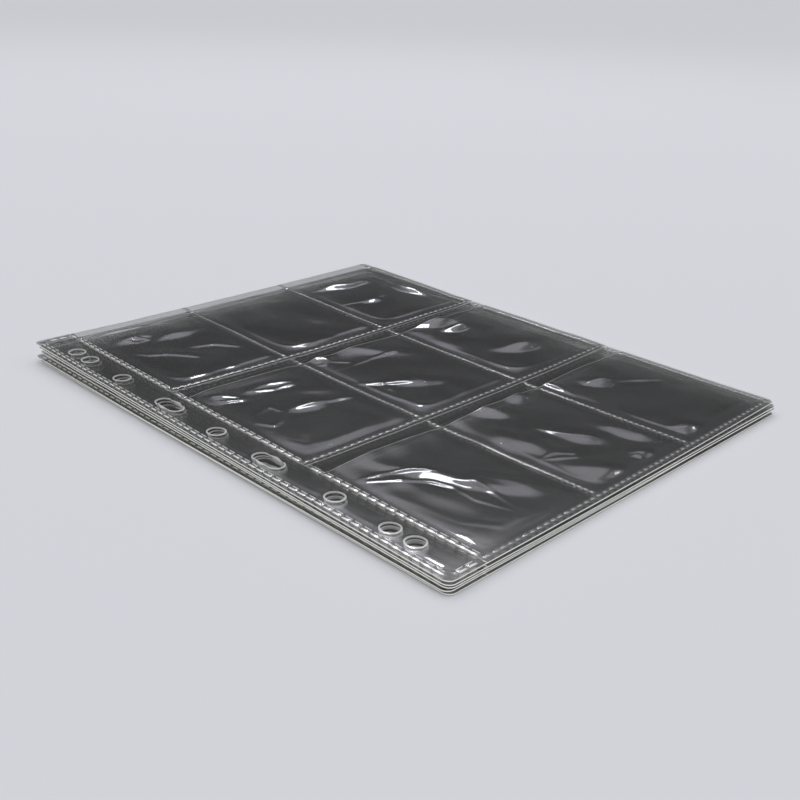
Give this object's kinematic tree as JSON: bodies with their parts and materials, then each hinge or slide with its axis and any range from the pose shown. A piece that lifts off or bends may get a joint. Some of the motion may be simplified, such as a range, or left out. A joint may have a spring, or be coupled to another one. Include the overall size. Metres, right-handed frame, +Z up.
{
  "type": "coin album page stack",
  "caption": "Loose stack of clear plastic coin album pages with pocket rows and a punched binding strip; each page turns on a common hinge line.",
  "frame": {"origin": "centre of the bottom face of the lowest page, on the surface that the stack lies on", "axes": "+X from the binding edge to the free edge, +Y along the binding edge towards the side where the pockets are open, +Z up"},
  "size_m": [0.2, 0.25, 0.0066],
  "materials": {
    "back_film": "clear soft film, glossy",
    "binding_film": "clear soft film, glossy",
    "pocket_film": "clear soft film, glossy"
  },
  "bodies": {
    "page_1": {"page_1_back_film": "back_film", "page_1_binding_strip": "binding_film", "page_1_bottom_row_film": "pocket_film", "page_1_middle_row_film": "pocket_film", "page_1_top_row_film": "pocket_film"},
    "page_2": {"page_2_back_film": "back_film", "page_2_binding_strip": "binding_film", "page_2_bottom_row_film": "pocket_film", "page_2_middle_row_film": "pocket_film", "page_2_top_row_film": "pocket_film"},
    "page_3": {"page_3_back_film": "back_film", "page_3_binding_strip": "binding_film", "page_3_bottom_row_film": "pocket_film", "page_3_middle_row_film": "pocket_film", "page_3_top_row_film": "pocket_film"},
    "page_4": {"page_4_back_film": "back_film", "page_4_binding_strip": "binding_film", "page_4_bottom_row_film": "pocket_film", "page_4_middle_row_film": "pocket_film", "page_4_top_row_film": "pocket_film"},
    "page_5": {"page_5_back_film": "back_film", "page_5_binding_strip": "binding_film", "page_5_bottom_row_film": "pocket_film", "page_5_middle_row_film": "pocket_film", "page_5_top_row_film": "pocket_film"}
  },
  "joints": [
    {"name": "page_2_turn", "type": "hinge", "parent": "page_1", "child": "page_2", "pos_m": [-0.104, 0, 0.0055], "axis": [0, -1, 0], "range_deg": [0, 180]},
    {"name": "page_3_turn", "type": "hinge", "parent": "page_2", "child": "page_3", "pos_m": [-0.104, 0, 0.0055], "axis": [0, -1, 0], "range_deg": [0, 180]},
    {"name": "page_4_turn", "type": "hinge", "parent": "page_3", "child": "page_4", "pos_m": [-0.104, 0, 0.0055], "axis": [0, -1, 0], "range_deg": [0, 180]},
    {"name": "page_5_turn", "type": "hinge", "parent": "page_4", "child": "page_5", "pos_m": [-0.104, 0, 0.0055], "axis": [0, -1, 0], "range_deg": [0, 180]}
  ]
}
